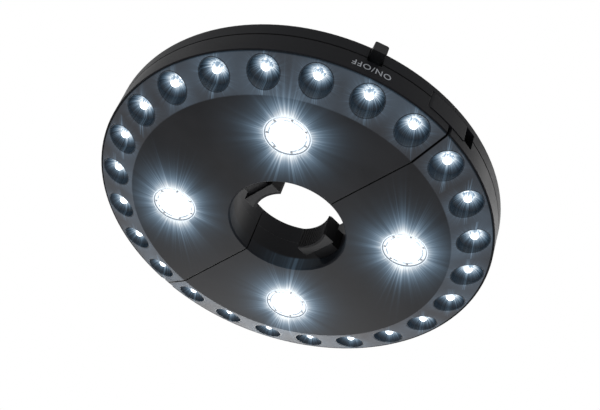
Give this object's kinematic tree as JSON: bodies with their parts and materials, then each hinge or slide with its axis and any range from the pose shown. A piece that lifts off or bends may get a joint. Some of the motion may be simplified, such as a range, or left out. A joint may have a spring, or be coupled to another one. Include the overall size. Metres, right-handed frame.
{
  "type": "umbrella light",
  "caption": "Round battery lamp in two hinged halves that latch round an umbrella's post, with sprung jaws, a ring of small lamps and larger spot lamps.",
  "frame": {"origin": "on the clamp axis, in the plane of the flat underside that holds the spot lamps", "axes": "+Z along the clamp axis, from the lamps to the battery doors; +X towards the latch; the halves meet on Y = 0 and the half with the button is at -Y"},
  "size_m": [0.2149, 0.215, 0.032],
  "materials": {
    "housing": "charcoal, fine satin texture",
    "reflector_dark": "dark blue-black, glossy",
    "led": "clear epoxy, lit cool white",
    "board": "solder mask green",
    "lens": "clear moulded lens",
    "reflector_bright": "bright metallised",
    "jaw_plastic": "dark grey, satin",
    "pad_rubber": "black, matt",
    "spring_steel": "drawn wire",
    "cell_jacket": "plain printed jacket",
    "contact_steel": "nickel plated",
    "fastener_steel": "zinc plated",
    "switch_case": "stamped case",
    "contact_brass": "plain"
  },
  "bodies": {
    "half_a": {"bottom_shell_a": "housing", "top_shell_a": "housing", "ring_reflectors_a": "reflector_dark", "ring_leds_a": "led", "ring_board_a": "board", "spot_lenses_a": "lens", "spot_reflectors_a": "reflector_bright", "spot_leds_a": "led", "spot_boards_a": "board", "jaw_springs_a": "spring_steel", "cells_a": "cell_jacket", "cell_springs_a": "spring_steel", "cell_contacts_a": "contact_steel", "case_screws_a": "fastener_steel", "hook_pin_a": "fastener_steel", "hinge_pin": "fastener_steel", "latch_pin": "fastener_steel", "tact_switch": "switch_case", "switch_board": "board", "link_pins": "contact_brass"},
    "half_b": {"bottom_shell_b": "housing", "top_shell_b": "housing", "ring_reflectors_b": "reflector_dark", "ring_leds_b": "led", "ring_board_b": "board", "spot_lenses_b": "lens", "spot_reflectors_b": "reflector_bright", "spot_leds_b": "led", "spot_boards_b": "board", "jaw_springs_b": "spring_steel", "cells_b": "cell_jacket", "cell_springs_b": "spring_steel", "cell_contacts_b": "contact_steel", "case_screws_b": "fastener_steel", "hook_pin_b": "fastener_steel", "link_pads": "contact_brass"},
    "grip_a": {"jaw_a": "jaw_plastic", "jaw_pad_a": "pad_rubber"},
    "grip_b": {"jaw_b": "jaw_plastic", "jaw_pad_b": "pad_rubber"},
    "door_a": {"battery_door_a": "housing"},
    "door_b": {"battery_door_b": "housing"},
    "hanger_a": {"hook_a": "jaw_plastic"},
    "hanger_b": {"hook_b": "jaw_plastic"},
    "latch_lever": {"latch": "housing"},
    "button": {"push_button": "jaw_plastic", "switch_plunger": "pad_rubber"}
  },
  "joints": [
    {"name": "halves_open", "type": "hinge", "parent": "half_a", "child": "half_b", "pos_m": [-0.1024, 0, 0.0195], "axis": [0, 0, 1], "range_deg": [0, 90]},
    {"name": "latch_swing", "type": "hinge", "parent": "half_a", "child": "latch_lever", "pos_m": [0.1034, -0.01288, 0.0185], "axis": [0, 0, -1], "range_deg": [0, 35]},
    {"name": "button_press", "type": "slide", "parent": "half_a", "child": "button", "axis": [-0.9063, 0.4226, 0], "range_m": [0, 0.0012], "stiffness_N_per_m": 1200, "springref_m": -0.0005},
    {"name": "grip_a_slide", "type": "slide", "parent": "half_a", "child": "grip_a", "axis": [0, -1, 0], "range_m": [-0.008, 0.0045], "stiffness_N_per_m": 600, "deforming": ["jaw_springs_a"]},
    {"name": "grip_b_slide", "type": "slide", "parent": "half_b", "child": "grip_b", "axis": [0, 1, 0], "range_m": [-0.008, 0.0045], "stiffness_N_per_m": 600, "deforming": ["jaw_springs_b"]},
    {"name": "door_a_lift", "type": "slide", "parent": "half_a", "child": "door_a", "axis": [0, 0, 1], "range_m": [0, 0.03]},
    {"name": "door_b_lift", "type": "slide", "parent": "half_b", "child": "door_b", "axis": [0, 0, 1], "range_m": [0, 0.03]},
    {"name": "hook_a_fold", "type": "hinge", "parent": "half_a", "child": "hanger_a", "pos_m": [0, -0.0552, 0.0296], "axis": [1, 0, 0], "range_deg": [0, 100]},
    {"name": "hook_b_fold", "type": "hinge", "parent": "half_b", "child": "hanger_b", "pos_m": [0, 0.0552, 0.0296], "axis": [-1, 0, 0], "range_deg": [0, 100]}
  ]
}
